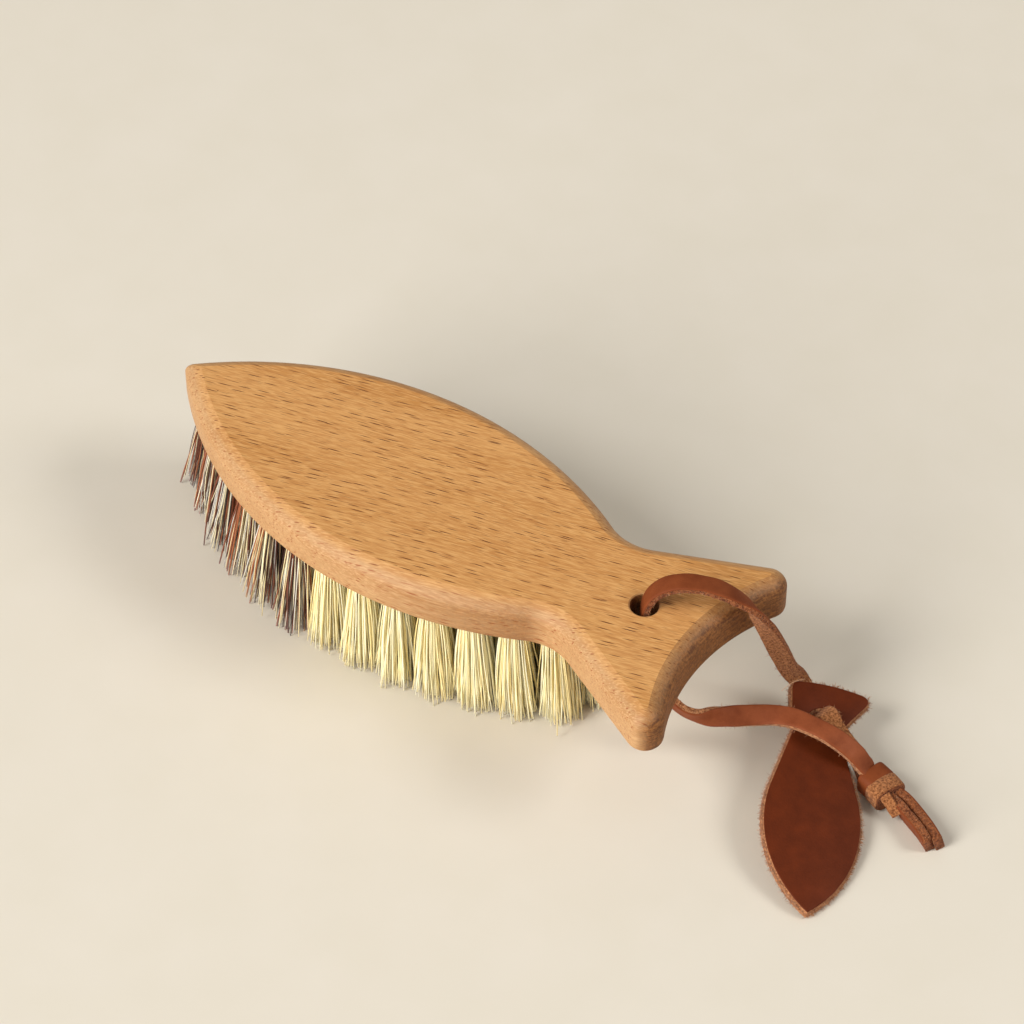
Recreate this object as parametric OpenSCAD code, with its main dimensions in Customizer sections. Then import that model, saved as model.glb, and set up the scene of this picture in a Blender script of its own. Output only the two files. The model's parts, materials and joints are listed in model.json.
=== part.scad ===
// Fish-shaped vegetable brush: a wooden block with drilled tufts of plant fibre,
// a leather lace through the tail and a small leather tag on the lace.
// The bristle tips stand on z = 0, the nose points to -X and the tail to +X.

/* [Block] */
// Length from nose to tail tips
block_l = 133.5; // [120:0.5:160]
// Thickness of the wood
block_t = 9.6; // [9:0.1:13]
// Width across the belly
belly_w = 48.8; // [44:0.2:54]
// Radius of the long side arcs
side_r = 83.4; // [78:0.2:92]
// Radius at the nose
nose_r = 1; // [0.5:0.1:2]
// Width across the tail tips
tail_w = 49; // [44:0.5:54]
// Angle at which the tail flares out from the centre line
flare_angle = 24.6; // [20:0.2:28]
// Radius of the two tail tips
tail_tip_r = 4.4; // [3.8:0.1:5]
// Depth of the hollow in the tail's end
tail_hollow = 5; // [3:0.1:6]
// Radius between the belly and the tail
neck_r = 11.5; // [9:0.1:14]
// Radius of the upper edge
top_edge_r = 3.2; // [1:0.1:3.6]
// Radius of the lower edge
low_edge_r = 1.4; // [0.6:0.1:2]

/* [Hanging hole] */
// Diameter of the hole
hang_d = 5.6; // [5:0.1:7]
// Distance of the hole from the tail's hollow
hang_inset = 13.5; // [12:0.1:15]
// Width of the bevel at both ends of the hole
hang_bevel = 0.4; // [0.2:0.1:0.8]

/* [Tufts] */
// Free length of the bristles
bristle_l = 24.4; // [18:0.1:30]
// Diameter of the tuft holes
tuft_hole_d = 5; // [4.4:0.1:5.4]
// Depth of the tuft holes
tuft_hole_depth = 7.3; // [6:0.1:8.2]
// Distance between tufts along a row
tuft_pitch = 8.2; // [7.8:0.1:9]
// Distance of the outer row from the block's edge
row_inset = 5.5; // [4.5:0.1:6]
// Distance between rows
row_gap = 8; // [7.6:0.1:9]
// Share of its place by which each tuft leans out of the middle
splay = 0.04; // [0:0.01:0.06]
// Diameter of a tuft at its tips
tuft_tip_d = 7.2; // [6:0.1:7.4]
// Clearance of a tuft in its hole
tuft_clear = 0.1; // [0.05:0.05:0.2]
// Thickness of a strand at its tip, as a share of that at its root
strand_taper = 0.75; // [0.5:0.05:0.8]
// Natural spread of the strands' lengths
strand_spread = 1.5; // [0.4:0.1:2]

/* [Anchor wires] */
// Length of the flat wire that holds a tuft down
wire_l = 5.8; // [5.5:0.1:6.2]
// Thickness of the wire
wire_t = 0.45; // [0.3:0.05:0.6]
// Height of the wire
wire_h = 1.8; // [1.2:0.1:2]
// Distance of the wire from the bottom of the hole
wire_cover = 0.8; // [0.6:0.1:1.4]

/* [Lace] */
// Width of the flat lace
lace_w = 4; // [3:0.1:4.4]
// Thickness of the lace
lace_t = 1.5; // [1:0.1:1.8]
// Bevel of the lace's long edges
lace_bevel = 0.35; // [0.1:0.05:0.45]

/* [Knot] */
// Length of the knot's first turn
knot_turn_l = 3.5; // [3:0.1:4.4]
// Width of the knot
knot_w = 6.8; // [6.4:0.1:7.6]
// Height of the knot
knot_h = 5.7; // [5.4:0.1:6.4]

/* [Tag] */
// Length of the tag
tag_l = 50; // [46:0.5:54]
// Width across the tag's belly
tag_belly_w = 19.5; // [17:0.5:22]
// Distance of the tag's widest place from its nose
tag_belly_at = 20; // [18:0.5:22]
// Angle of the tag's straight flanks between its belly and its neck
tag_flank_angle = 16.5; // [15:0.5:20]
// Width of the tag's neck
tag_neck_w = 9.4; // [9:0.1:11]
// Width across the tag's tail
tag_tail_w = 17; // [15:0.5:18]
// Depth of the hollow in the tag's tail
tag_hollow = 1.2; // [0.5:0.1:2]
// Thickness of the tag
tag_t = 1.8; // [1.4:0.1:2]
// Diameter of the hole in the tag
tag_hole_d = 5; // [4.8:0.1:5.4]
// Distance of the tag's hole from its tail end
tag_hole_inset = 7; // [6.6:0.1:7.4]

/* [Hidden] */
// Sides of the drilled holes
$fn = 48;
// Gap that keeps two touching pieces apart
touch = 0.02;

// Heights of the block's two faces
low_z = bristle_l;
top_z = bristle_l + block_t;
nose_x = -block_l / 2;

function unit(v) = v / norm(v);
function polar(a) = [cos(a), sin(a)];
function angle_of(v) = atan2(v[1], v[0]);
function arc(c, r, a0, a1, n) = [for (i = [0 : n]) c + r * polar(a0 + (a1 - a0) * i / n)];
function tail_of(list, from = 1) = [for (i = [from : len(list) - 1]) list[i]];
function mirrored(p) = [p[0], -p[1]];

// Outline of the block: centres of its tangent arcs, on the side of +Y.
// The long side arc passes round the nose arc, which ends at nose_x.
side_drop = side_r - belly_w / 2;
side_c = [nose_x + nose_r + sqrt(pow(side_r - nose_r, 2) - pow(side_drop, 2)), -side_drop];
// The tip circle touches the tail's full length and full width.
tip_c = [block_l / 2 - tail_tip_r, tail_w / 2 - tail_tip_r];
// The hollow's circle touches both tip circles from outside.
hollow_x = block_l / 2 - tail_hollow;
hollow_a = hollow_x - tip_c[0];
hollow_r = (pow(hollow_a, 2) + pow(tip_c[1], 2) - pow(tail_tip_r, 2)) / (2 * (tail_tip_r - hollow_a));
hollow_c = [hollow_x + hollow_r, 0];
// The neck's circle touches the flared flank and the long side arc from outside.
flank_n = polar(90 + flare_angle);
flank_u = -polar(flare_angle);
neck_v = tip_c + (tail_tip_r + neck_r) * flank_n - side_c;
neck_run = -neck_v * flank_u
    - sqrt(pow(neck_v * flank_u, 2) - neck_v * neck_v + pow(side_r + neck_r, 2));
neck_c = side_c + neck_v + neck_run * flank_u;

// Steps of the outline's arcs, and the point where the neck's arc ends
nose_steps = 3;
side_steps = 26;
neck_steps = 8;
tip_steps = 8;
hollow_steps = 8;
neck_last = nose_steps + side_steps + neck_steps + 1;

// Half of the outline, moved inwards by d, from the nose to the tail's hollow
function half_outline(d) =
    let (
        nose_c = [side_c[0] - sqrt(pow(side_r - d - nose_r, 2) - pow(side_drop, 2)), 0],
        nose_end = angle_of(nose_c - side_c),
        side_end = angle_of(neck_c - side_c),
        flank_a = angle_of(flank_n),
        tip_end = angle_of(hollow_c - tip_c),
        hollow_start = angle_of(tip_c - hollow_c)
    )
    concat(
        arc(nose_c, nose_r, 180, nose_end, nose_steps),
        tail_of(arc(side_c, side_r - d, nose_end, side_end, side_steps)),
        arc(neck_c, neck_r + d, side_end - 180, flank_a - 180, neck_steps),
        arc(tip_c, tail_tip_r - d, flank_a, tip_end, tip_steps),
        tail_of(arc(hollow_c, hollow_r + d, hollow_start, 180, hollow_steps))
    );
function whole_outline(d) =
    let (h = half_outline(d), n = len(h))
    concat(h, [for (i = [n - 2 : -1 : 1]) mirrored(h[i])]);

// Rings of the block from its lower face to its upper face: [inset, height]
low_rings = [for (a = [0, 45, 90])
    [low_edge_r * (1 - sin(a)), low_z + low_edge_r * (1 - cos(a))]];
top_rings = [for (a = [0 : 22.5 : 90])
    [top_edge_r * (1 - cos(a)), top_z - top_edge_r * (1 - sin(a))]];
block_rings = concat(low_rings, top_rings);

// Faces that join ring k of n points to the next ring
function ring_faces(k, n) = [for (i = [0 : n - 1]) let (j = (i + 1) % n)
    each [[k * n + i, k * n + j, (k + 1) * n + j], [k * n + i, (k + 1) * n + j, (k + 1) * n + i]]];

// Faces that close ring k: strips across the block up to the end of its neck, and from
// there a fan over each tail tip
function cap_faces(k, n) =
    let (a = neck_last, m = n / 2)
    [for (f = concat(
        [[0, 1, n - 1]],
        [for (i = [1 : a - 1]) each [[i, i + 1, n - i - 1], [i, n - i - 1, n - i]]],
        [for (i = [a + 1 : m - 1]) each [[a, i, i + 1], [n - a, n - i - 1, n - i]]],
        [[a, m, n - a]]
    )) [for (i = f) k * n + i]];
function reversed(f) = [f[2], f[1], f[0]];

module block_blank() {
    n = len(whole_outline(0));
    last = len(block_rings) - 1;
    points = [for (r = block_rings, p = whole_outline(r[0])) [p[0], p[1], r[1]]];
    low_face = [for (f = cap_faces(0, n)) reversed(f)];
    sides = [for (k = [0 : last - 1]) each ring_faces(k, n)];
    polyhedron(points, concat(low_face, sides, cap_faces(last, n)));
}

// Tuft places. Rows follow the long side arcs at equal steps; a row starts and ends
// with one tuft on the centre line, and the innermost row lies on that line.
function row_r(inset) = side_r - inset;
function row_start(inset) = 180 - asin(side_drop / row_r(inset));
function row_pairs(inset) =
    let (step = tuft_pitch / row_r(inset) * 180 / PI)
    [for (k = [1 : 40])
        let (p = side_c + row_r(inset) * polar(row_start(inset) - k * step))
        if (k * step < row_start(inset) && p[1] >= 0.45 * tuft_pitch) p];
function ring_row(inset) =
    let (pairs = row_pairs(inset), last = pairs[len(pairs) - 1])
    concat(
        [side_c + row_r(inset) * polar(row_start(inset))],
        [for (p = pairs) each [p, mirrored(p)]],
        [[last[0] + sqrt(pow(tuft_pitch, 2) - pow(last[1], 2)), 0]]
    );
function centre_row(inset) =
    let (
        start = side_c[0] + row_r(inset) * cos(row_start(inset)),
        run = 2 * (side_c[0] - start),
        n = floor(run / (0.9 * tuft_pitch))
    )
    [for (i = [0 : n]) [start + run * i / n, 0]];

tuft_places = concat(
    ring_row(row_inset),
    ring_row(row_inset + row_gap),
    centre_row(row_inset + 2 * row_gap)
);
tuft_count = len(tuft_places);
// Tufts forward of this place have the dark fibre mix
dark_end_x = nose_x + 48;

// A tuft is a plug that fills its hole and ten three-sided strands that fan out of it.
// Its face is a hexagonal patch of 24 triangles, drawn out to a circle.
plug_r = tuft_hole_d / 2 - tuft_clear;
patch = concat(
    [[0, 0]],
    [for (i = [0 : 5]) plug_r * 0.52 * polar(60 * i)],
    [for (i = [0 : 11]) plug_r * polar(30 * i)]
);
function inner(i) = 1 + i % 6;
function outer(i) = 7 + i % 12;
// Triangles of the patch that carry strands, no two of them sharing an edge
strand_roots = concat(
    [[0, inner(0), inner(1)]],
    [for (i = [0 : 2 : 4]) each [
        [inner(i), outer(2 * i), outer(2 * i + 1)],
        [inner(i + 1), outer(2 * i + 1), outer(2 * i + 2)]]],
    [for (i = [1 : 2 : 5]) [inner(i), outer(2 * i + 1), inner(i + 1)]]
);
// Triangles of the patch that stay flat
bare_faces = concat(
    [for (i = [1 : 5]) [0, inner(i), inner(i + 1)]],
    [for (i = [0 : 2 : 4]) [inner(i), outer(2 * i + 1), inner(i + 1)]],
    [for (i = [1 : 2 : 5]) each [
        [inner(i), outer(2 * i), outer(2 * i + 1)],
        [inner(i + 1), outer(2 * i + 1), outer(2 * i + 2)]]]
);
strand_count = len(strand_roots);
// A tip may wander as far as its share of the fan leaves free
tip_spread = tuft_tip_d / 2 / plug_r;
tip_wander = 0.2 * plug_r * (tip_spread - strand_taper) / 2;

// One tuft at its place p, its strands told apart by the number seed
module tuft_solid(p, seed) {
    plug_h = tuft_hole_depth - tuft_clear;
    n = len(patch);
    lean = splay * (p - [side_c[0], 0]);
    draw = rands(-1, 1, 3 * strand_count, seed);
    face_points = [for (q = patch) [p[0] + q[0], p[1] + q[1], low_z]];
    top_points = [for (i = [0 : 11]) let (q = p + patch[outer(i)]) [q[0], q[1], low_z + plug_h]];
    // Tips are cut flat where the tuft stands, half a millimetre up from their longest
    tip_points = [for (s = [0 : strand_count - 1])
        let (
            root = strand_roots[s],
            mid = (patch[root[0]] + patch[root[1]] + patch[root[2]]) / 3,
            wander = tip_wander * [draw[3 * s], draw[3 * s + 1]],
            z = max(0, -0.5 + strand_spread * (draw[3 * s + 2] - 0.2) / 2)
        )
        for (k = root)
            let (q = p + lean + tip_spread * mid + wander + strand_taper * (patch[k] - mid))
            [q[0], q[1], z]];
    tops = n;
    tips = n + 12;
    plug_faces = [for (i = [0 : 11]) let (j = (i + 1) % 12)
        each [[tops + i, tops + j, outer(j)], [tops + i, outer(j), outer(i)]]];
    plug_end = [for (i = [1 : 10]) [tops, tops + i + 1, tops + i]];
    strand_faces = [for (s = [0 : strand_count - 1]) let (root = strand_roots[s], t = tips + 3 * s)
        each concat(
            [for (k = [0 : 2]) let (m = (k + 1) % 3)
                each [[root[k], root[m], t + m], [root[k], t + m, t + k]]],
            [[t, t + 1, t + 2]]
        )];
    polyhedron(
        concat(face_points, top_points, tip_points),
        concat(bare_faces, plug_faces, plug_end, strand_faces)
    );
}

// Height of an anchor wire's lower edge
wire_z = low_z + tuft_hole_depth - wire_cover - wire_h;
module wire_bar(p, extra) {
    size = [wire_l + extra, wire_t + extra, wire_h + extra];
    translate([p[0] - size[0] / 2, p[1] - size[1] / 2, wire_z - extra / 2]) cube(size);
}

module tuft(i) {
    p = tuft_places[i];
    dark = p[0] < dark_end_x;
    color(dark ? (i % 2 == 0 ? "#4a2c20" : "#7a5238") : "#eadfae")
        difference() {
            tuft_solid(p, i + 7);
            wire_bar(p, tuft_clear);
        }
}

module anchor_wires() {
    color("#8d8f92") for (p = tuft_places) wire_bar(p, 0);
}

hang_x = hollow_x - hang_inset;
module wooden_block() {
    color("#c8925a")
        difference() {
            block_blank();
            for (p = tuft_places) {
                translate([p[0], p[1], low_z - 1]) cylinder(h = tuft_hole_depth + 1, d = tuft_hole_d);
                wire_bar(p, tuft_clear);
            }
            translate([hang_x, 0, low_z - 1]) cylinder(h = block_t + 2, d = hang_d);
            translate([hang_x, 0, top_z - hang_bevel])
                cylinder(h = 2 * hang_bevel, d1 = hang_d, d2 = hang_d + 4 * hang_bevel);
            translate([hang_x, 0, low_z - hang_bevel])
                cylinder(h = 2 * hang_bevel, d1 = hang_d + 4 * hang_bevel, d2 = hang_d);
        }
}

// Lace. Its points, the knot and the tag are measured from the middle of the hanging hole.
// Each point of a route is followed by the way that the smooth side faces there.
hang_at = [hang_x, 0, 0];
function lace_section() =
    let (w = lace_w / 2, h = lace_t / 2, b = lace_bevel)
    [[w, h - b], [w - b, h], [b - w, h], [-w, h - b], [-w, b - h], [b - w, -h], [w - b, -h], [w, b - h]];
module lace(route, end_way) {
    n = len(route);
    section = lace_section();
    way = [for (i = [0 : n - 1])
        i == n - 1 ? unit(end_way) : unit(route[i + 1][0] - route[max(i - 1, 0)][0])];
    face = [for (i = [0 : n - 1]) unit(route[i][1] - (route[i][1] * way[i]) * way[i])];
    points = [for (i = [0 : n - 1], q = section)
        route[i][0] + q[0] * cross(way[i], face[i]) + q[1] * face[i]];
    start = [for (k = [0 : 7]) k];
    end = [for (k = [7 : -1 : 0]) 8 * (n - 1) + k];
    sides = [for (i = [0 : n - 2]) each ring_faces(i, 8)];
    translate(hang_at)
        polyhedron(points, concat(sides, [for (f = [start, end], k = [1 : 6]) [f[0], f[k + 1], f[k]]]));
}

// The lace's middle inside the hanging hole, where its two stretches meet
lace_mid_z = low_z + block_t / 2;
// Stretch from the hole's top, over the tail's end, up through the tag to the knot
over_route = [
    [[0, 0, lace_mid_z + touch], [-8, -6, 0]],
    [[0, 0, 31.5], [-8, -6, 0]],
    [[0.3, 0.3, 34.5], [-8, -6, 2]],
    [[1.3, 1.2, 37.2], [-8, -6, 6]],
    [[3.2, 2.6, 39.2], [-5, -4, 9]],
    [[6, 4.4, 40.2], [-1, -1, 10]],
    [[9.3, 6.4, 40], [1, 0, 10]],
    [[12.4, 8.2, 38.8], [3, 2, 9]],
    [[15.3, 9.8, 36.8], [4, 5, 8]],
    [[17.6, 11.2, 34.4], [3, 8, 6]],
    [[18.6, 12.2, 31.4], [0, 10, 4]],
    [[19.6, 13.6, 27.6], [-3, 10, 2]],
    [[20.3, 15.3, 23], [-5, 9, 1]],
    [[21, 17.2, 17.8], [-5, 8, 0]],
    [[21.8, 19.2, 12.4], [-5, 8, -2]],
    [[23, 21.1, 8.6], [-4, 6, -5]],
    [[24.8, 21.4, 5.6], [-2, 3, -8]],
    [[27.1, 20, 3.9], [-1, 1, -10]],
    [[29, 17.5, 3.5], [0, 0, -10]],
    [[30.6, 15.7, 4.7], [5, -3, -8]],
    [[31.5, 14.8, 6.6], [9, -3, -3]],
    [[32, 14.5, 8.6], [9, -2, -2]],
    [[32.7, 14.6, 10.2], [7, -1, -7]],
    [[34.1, 14.8, 10.9], [2, 0, -10]],
    [[36.2, 14.3, 10.3], [-2, 0, -10]],
    [[38.4, 13.9, 9.3], [-4, 0, -9]],
    [[40.4, 13.5, 8.1], [-4, 0, -9]],
    [[42.1, 13.1, 6.4], [-5, 0, -8]],
    [[43.7, 12.7, 4], [-4, 0, -9]],
    [[45.5, 12.3, 2], [0, 0, -10]],
];
// Stretch from the hole's underside, over the tag's neck to the knot
under_route = [
    [[0, 0, lace_mid_z - touch], [-8, -6, 0]],
    [[0, 0, 25.4], [-8, -6, 0]],
    [[0.3, -0.1, 22.4], [-8, -6, -1]],
    [[1.4, -0.5, 19.7], [-7, -6, -4]],
    [[3.4, -1.1, 17.3], [-4, -6, -7]],
    [[5.8, -1.6, 15.2], [-1, -7, -8]],
    [[8.3, -1.8, 13.3], [2, -9, -4]],
    [[10.8, -1.4, 11.7], [4, -9, 1]],
    [[13.3, -0.2, 10.7], [5, -8, 5]],
    [[16, 1.9, 10.2], [4, -6, 8]],
    [[19, 4.4, 10.1], [3, -5, 9]],
    [[22.3, 6.9, 10.3], [3, -4, 9]],
    [[25.7, 8.7, 10.9], [2, -3, 9]],
    [[29.3, 9.6, 11.6], [1, -2, 10]],
    [[33.1, 9.8, 12], [0, -1, 10]],
    [[36.9, 10.3, 11.6], [2, -1, 10]],
    [[40.1, 10.9, 10.3], [4, -2, 9]],
    [[42.5, 11.5, 8.5], [5, -2, 8]],
    [[44.1, 11.9, 6.5], [4, -1, 8]],
    [[45.5, 12.3, 4.6], [0, 0, 10]],
];
// The two cut ends beyond the knot, standing on edge side by side
near_end_route = [
    [[51.9, 9.6, 2.3], [-4, -9, 0]],
    [[54.5, 8.8, 2.2], [-4, -9, 0]],
    [[57.4, 7.6, 2.1], [-5, -9, 0]],
    [[60.6, 6, 2.1], [-5, -9, 0]],
    [[63.7, 4.4, 2.1], [-5, -9, 0]],
];
far_end_route = [
    [[52.8, 11.8, 2.3], [4, 9, 0]],
    [[55.6, 11.2, 2.2], [4, 9, 0]],
    [[59, 9.9, 2.1], [5, 9, 0]],
    [[62.4, 8.1, 2.1], [5, 9, 0]],
    [[65.5, 6.1, 2.1], [6, 8, 0]],
];
knot_at = [49, 11.6, 0];
knot_turn_a = -15;
knot_way = polar(knot_turn_a);
// The second turn is a little wider and askew, and bites into the first
knot_bite = 0.4;
knot_skew = 6;
knot_lift = 0.1;
knot_roundness = 0.36;

module strap_over() {
    color("#6f3322") lace(over_route, [knot_way[0], knot_way[1], 0]);
}
module strap_under() {
    color("#7d3d28") lace(under_route, [knot_way[0], knot_way[1], 0]);
}
module strap_ends() {
    color("#6f3a26") {
        lace(near_end_route, [9, -5, 0]);
        lace(far_end_route, [8, -6, 0]);
    }
}

// One turn of the knot: a flat band with rounded sides, w wide and turned by a
module knot_turn(a, w) {
    round_r = knot_h * knot_roundness;
    rotate([0, 90, 0]) rotate([a, 0, 0])
        hull()
            for (y = [-1, 1], z = [-1, 1])
                translate([z * (knot_h / 2 - round_r), y * (w / 2 - round_r), 0])
                    cylinder(h = knot_turn_l, r = round_r, $fn = 32);
}
module strap_knot() {
    color("#84432c")
        translate(hang_at + knot_at + [0, 0, knot_h / 2 + knot_lift]) rotate([0, 0, knot_turn_a]) {
            translate([-knot_turn_l, 0, 0]) knot_turn(0, knot_w);
            translate([-knot_bite, 0, 0]) knot_turn(knot_skew, knot_w + knot_bite);
        }
}

// Tag: a small fish cut from flat leather, its tail lifted by the lace
tag_nose = [53.5, -22, 0.3];
tag_turn = 121;
tag_rise = 9;
tag_roll = 13;
// Its side arcs run from the nose past the belly and go over into straight flanks to the neck.
tag_r = (pow(tag_belly_at, 2) + pow(tag_belly_w / 2, 2)) / tag_belly_w;
tag_c = [tag_belly_at, tag_belly_w / 2 - tag_r];
tag_flank = tag_c + tag_r * polar(90 - tag_flank_angle);
tag_neck = [tag_flank[0] + (tag_flank[1] - tag_neck_w / 2) / tan(tag_flank_angle), tag_neck_w / 2];
tag_hollow_r = (pow(tag_tail_w / 2, 2) + pow(tag_hollow, 2)) / (2 * tag_hollow);
tag_hollow_a = asin(tag_tail_w / 2 / tag_hollow_r);
tag_half = concat(
    arc(tag_c, tag_r, 180 - asin(-tag_c[1] / tag_r), 90 - tag_flank_angle, 20),
    [tag_neck],
    arc([tag_l - tag_hollow + tag_hollow_r, 0], tag_hollow_r, 180 - tag_hollow_a, 180, 6)
);
module leather_tag() {
    color("#5d2719")
        translate(hang_at + tag_nose) rotate([0, 0, tag_turn]) rotate([0, -tag_rise, 0]) rotate([tag_roll, 0, 0])
            linear_extrude(tag_t)
                difference() {
                    polygon(concat(tag_half, [for (i = [len(tag_half) - 2 : -1 : 1]) mirrored(tag_half[i])]));
                    translate([tag_l - tag_hole_inset, 0]) circle(d = tag_hole_d);
                }
}

function tuft_name(i) = str("tuft_", i < 9 ? "0" : "", i + 1);
wooden_block();
anchor_wires();
for (i = [0 : tuft_count - 1]) tuft(i);
strap_over();
strap_under();
strap_knot();
strap_ends();
leather_tag();
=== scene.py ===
import json
import math
from collections import namedtuple

import bmesh
import bpy
import numpy as np
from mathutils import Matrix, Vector


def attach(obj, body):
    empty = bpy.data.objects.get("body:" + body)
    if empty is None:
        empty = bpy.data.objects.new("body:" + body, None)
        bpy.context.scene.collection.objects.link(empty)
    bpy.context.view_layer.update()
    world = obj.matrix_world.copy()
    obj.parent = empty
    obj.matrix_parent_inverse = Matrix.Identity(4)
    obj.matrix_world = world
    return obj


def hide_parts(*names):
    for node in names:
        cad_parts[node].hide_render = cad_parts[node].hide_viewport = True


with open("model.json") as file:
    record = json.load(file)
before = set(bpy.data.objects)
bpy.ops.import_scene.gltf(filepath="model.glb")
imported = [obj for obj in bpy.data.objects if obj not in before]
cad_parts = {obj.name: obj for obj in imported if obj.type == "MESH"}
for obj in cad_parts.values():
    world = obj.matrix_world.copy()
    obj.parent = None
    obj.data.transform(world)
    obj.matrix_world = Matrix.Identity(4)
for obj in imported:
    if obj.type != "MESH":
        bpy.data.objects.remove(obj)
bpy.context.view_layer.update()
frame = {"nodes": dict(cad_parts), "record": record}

MM = 0.001

# Camera, at the photograph's place
CAMERA_AT = Vector((331.1, -428.4, 605)) * MM
CAMERA_WAY = Vector((-0.4055, 0.5524, -0.7283))
CAMERA_LENS, CAMERA_SENSOR = 140.3, 36
CAMERA_NEAR = 0.01

scene = bpy.context.scene
camera = bpy.data.objects.new("camera", bpy.data.cameras.new("camera"))
scene.collection.objects.link(camera)
camera.location = CAMERA_AT
camera.rotation_euler = CAMERA_WAY.to_track_quat("-Z", "Y").to_euler()
camera.data.lens = CAMERA_LENS
camera.data.sensor_width = CAMERA_SENSOR
camera.data.clip_start = CAMERA_NEAR
scene.camera = camera
scene.view_settings.view_transform = "Standard"

# The Mix node's sockets for colours: its share, its two colours and its result
MIX_IN, MIX_OUT = (0, 6, 7), 2


# Node materials
def srgb(r, g, b):
    """A colour written as it looks, from 0 to 255, as the linear colour that a socket takes."""
    return tuple(((c / 255 + 0.055) / 1.055) ** 2.4 if c > 10 else c / 3295 for c in (r, g, b)) + (1,)


class Material:
    """A material whose nodes are made with short calls. Its constants are set on the shader's own sockets."""

    def __init__(self, name, roughness, **sockets):
        self.material = bpy.data.materials.new(name)
        self.material.use_nodes = True
        self.tree = self.material.node_tree
        self.shader = self.tree.nodes["Principled BSDF"]
        self.shader.inputs["Roughness"].default_value = roughness
        for socket, value in sockets.items():
            self.shader.inputs[socket.replace("_", " ")].default_value = value

    def add(self, kind, inputs=None, **settings):
        made = self.tree.nodes.new(kind)
        for key, value in settings.items():
            setattr(made, key, value)
        for key, value in (inputs or {}).items():
            self.put(made.inputs[key], value)
        return made

    def put(self, socket, value):
        if isinstance(value, bpy.types.NodeSocket):
            self.tree.links.new(value, socket)
        else:
            socket.default_value = value

    def math(self, operation, a, b=0.0, clamp=False):
        return self.add("ShaderNodeMath", {0: a, 1: b}, operation=operation, use_clamp=clamp).outputs[0]

    def blend(self, a, part_a, b, part_b):
        """The sum of a times part_a and b times part_b."""
        return self.math("ADD", self.math("MULTIPLY", a, part_a), self.math("MULTIPLY", b, part_b))

    def vector(self, operation, a, b=(0, 0, 0)):
        """Vector mathematics. DISTANCE and LENGTH give a number, and the others a vector."""
        made = self.add("ShaderNodeVectorMath", {0: a, 1: b}, operation=operation)
        return made.outputs["Value" if operation in ("DISTANCE", "LENGTH") else "Vector"]

    def mix(self, share, a, b):
        """A colour that goes from a to b as share goes from 0 to 1."""
        return self.add("ShaderNodeMix", dict(zip(MIX_IN, (share, a, b))), data_type="RGBA").outputs[MIX_OUT]

    def coords(self, turn=0.0):
        """The object's own coordinates in metres, turned about Z."""
        where = self.add("ShaderNodeTexCoord").outputs["Object"]
        if not turn:
            return where
        return self.add("ShaderNodeMapping", {"Vector": where, "Rotation": (0, 0, turn)}).outputs[0]

    def noise(self, coords, scale, detail=2.0, rough=0.5):
        """Noise. Its scale is features to the metre, in one number or in one for each of X, Y and Z."""
        if isinstance(scale, tuple):
            coords, scale = self.vector("MULTIPLY", coords, scale), 1.0
        inputs = {"Vector": coords, "Scale": scale, "Detail": detail, "Roughness": rough}
        return self.add("ShaderNodeTexNoise", inputs).outputs["Fac"]

    def ramp(self, value, *stops):
        """Stops are (place, colour or grey)."""
        made = self.add("ShaderNodeValToRGB", {"Fac": value})
        ramp = made.color_ramp
        while len(ramp.elements) < len(stops):
            ramp.elements.new(0.5)
        for element, (place, colour) in zip(ramp.elements, stops):
            element.position = place
            element.color = colour if isinstance(colour, tuple) else (colour, colour, colour, 1)
        return made.outputs[0]

    def bump(self, height, distance, strength):
        inputs = {"Height": height, "Distance": distance, "Strength": strength}
        return self.add("ShaderNodeBump", inputs).outputs[0]

    def finish(self, colour, normal=None, roughness=None):
        self.put(self.shader.inputs["Base Color"], colour)
        if normal is not None:
            self.put(self.shader.inputs["Normal"], normal)
        if roughness is not None:
            self.put(self.shader.inputs["Roughness"], roughness)
        return self.material


# Meshes
def new_piece(name, points, faces, materials, indices=None):
    """A smooth mesh piece in the shared frame. indices gives each face's material where there are several."""
    mesh = bpy.data.meshes.new(name)
    mesh.from_pydata([tuple(p) for p in points], [], [tuple(f) for f in faces])
    for m in materials:
        mesh.materials.append(m)
    if indices is not None:
        mesh.polygons.foreach_set("material_index", np.array(indices, np.int32))
    mesh.polygons.foreach_set("use_smooth", np.full(len(mesh.polygons), True))
    mesh.update()
    made = bpy.data.objects.new(name, mesh)
    scene.collection.objects.link(made)
    return made


def unit(v):
    v = np.asarray(v, float)
    return v / np.maximum(np.linalg.norm(v, axis=-1, keepdims=True), 1e-12)


def turned(x, y, angle):
    """A place in a plane, turned about its origin by an angle in radians."""
    c, s = math.cos(angle), math.sin(angle)
    return x * c - y * s, x * s + y * c


def wall(low, high, n, flip=False):
    """Quads between two closed rings of n points each, whose first points have the numbers low and high."""
    quads = []
    for i in range(n):
        j = (i + 1) % n
        quads.append((low + j, low + i, high + i, high + j) if flip else (low + i, low + j, high + j, high + i))
    return quads


def loft_faces(rings, sides, closed_ends=True):
    """Quads between rings of equally many points, with one n-gon at each end."""
    faces = [quad for k in range(rings - 1) for quad in wall(k * sides, (k + 1) * sides, sides)]
    if closed_ends:
        faces.append(tuple(range(sides))[::-1])
        faces.append(tuple(range((rings - 1) * sides, rings * sides)))
    return faces


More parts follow.
